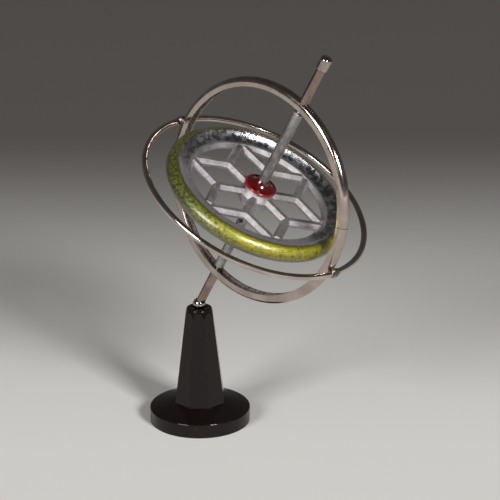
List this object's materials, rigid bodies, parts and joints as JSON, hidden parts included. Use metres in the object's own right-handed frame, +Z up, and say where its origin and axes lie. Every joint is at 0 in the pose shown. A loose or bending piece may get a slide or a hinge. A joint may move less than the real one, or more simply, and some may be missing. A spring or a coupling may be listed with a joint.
{
  "type": "toy gyroscope on stand",
  "caption": "Spinning wheel in a round wire frame that leans and turns on a small pedestal with a cupped top.",
  "frame": {"origin": "centre of the pedestal's underside", "axes": "+Z up along the pedestal; -Y towards the viewer of the picture, +X to their right"},
  "size_m": [0.0587, 0.0608, 0.109],
  "materials": {
    "black_plastic": "gloss",
    "dark_chrome": "polished",
    "nickel": "satin nickel plate",
    "nickel_wire": "polished nickel plate",
    "weld": "rough plated weld",
    "stem_steel": "satin nickel plate",
    "zinc": "dull grey die-cast zinc",
    "pivot_steel": "bright",
    "wheel_casting": "die-cast zinc, rim painted metallic yellow-green outside",
    "red_enamel": "gloss"
  },
  "bodies": {
    "stand": {"pedestal": "black_plastic"},
    "ball": {"tip_ball": "dark_chrome"},
    "frame": {"main_ring": "nickel", "guard_ring": "nickel_wire", "weld_left": "weld", "weld_right": "weld", "stem_lower": "stem_steel", "stem_upper": "stem_steel", "tip_cap_upper": "dark_chrome"},
    "rotor": {"flywheel": "wheel_casting", "hub_disc": "red_enamel", "axle_shaft": "zinc", "pivot_lower": "pivot_steel", "pivot_upper": "pivot_steel"}
  },
  "joints": [
    {"name": "precession", "type": "hinge", "parent": "stand", "child": "ball", "pos_m": [0, 0, 0.03375], "axis": [0, 0, 1], "continuous": true},
    {"name": "lean", "type": "hinge", "parent": "ball", "child": "frame", "pos_m": [0, 0, 0.03375], "axis": [0.6028, 0.7979, 0], "range_deg": [-108.9, 51]},
    {"name": "spin", "type": "hinge", "parent": "frame", "child": "rotor", "pos_m": [0, 0, 0.03375], "axis": [0.3866, -0.2921, 0.8748], "continuous": true}
  ]
}
